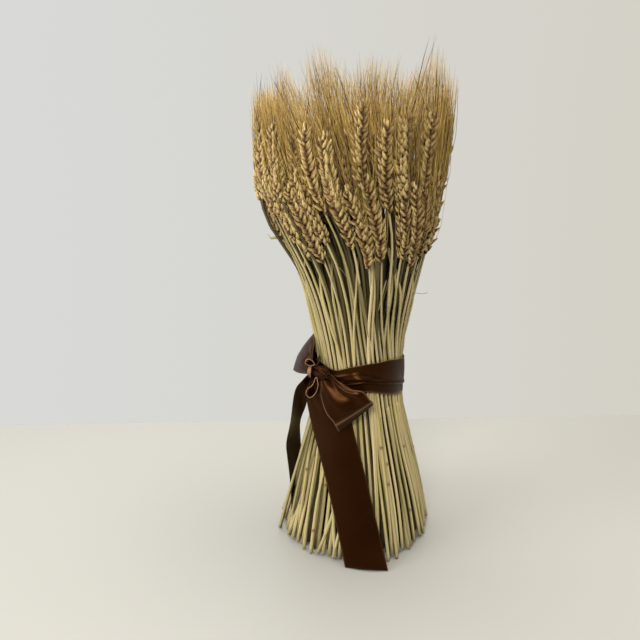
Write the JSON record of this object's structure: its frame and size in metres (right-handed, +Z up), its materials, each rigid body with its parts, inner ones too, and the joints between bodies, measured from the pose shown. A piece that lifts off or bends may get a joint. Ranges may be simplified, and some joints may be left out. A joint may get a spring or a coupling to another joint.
{
  "type": "dried wheat sheaf",
  "caption": "Standing sheaf of bearded wheat stalks with long awns, tied round the waist with a wide satin ribbon in a small bow.",
  "frame": {"origin": "middle of the outline's box, at the surface that the cut ends stand on", "axes": "+Z up, from the cut ends to the awns; -Y is the front, and the bow is at the front left, towards -X and -Y"},
  "size_m": [0.2022, 0.1989, 0.517],
  "materials": {
    "straw": "matte",
    "satin": "satin"
  },
  "bodies": {
    "root": {"ribbon": "satin", "stalks_01": "straw", "stalks_02": "straw", "stalks_03": "straw", "stalks_04": "straw", "stalks_05": "straw", "stalks_06": "straw", "stalks_07": "straw", "stalks_08": "straw", "stalks_09": "straw", "stalks_10": "straw", "stalks_11": "straw", "stalks_12": "straw", "stalks_13": "straw", "stalks_14": "straw", "stalks_15": "straw", "stalks_16": "straw", "stalks_17": "straw", "stalks_18": "straw", "stalks_19": "straw", "stalks_20": "straw", "stalks_21": "straw", "stalks_22": "straw", "stalks_23": "straw", "stalks_24": "straw", "stalks_25": "straw", "stalks_26": "straw", "stalks_27": "straw", "stalks_28": "straw", "stalks_inner": "straw"}
  },
  "joints": []
}
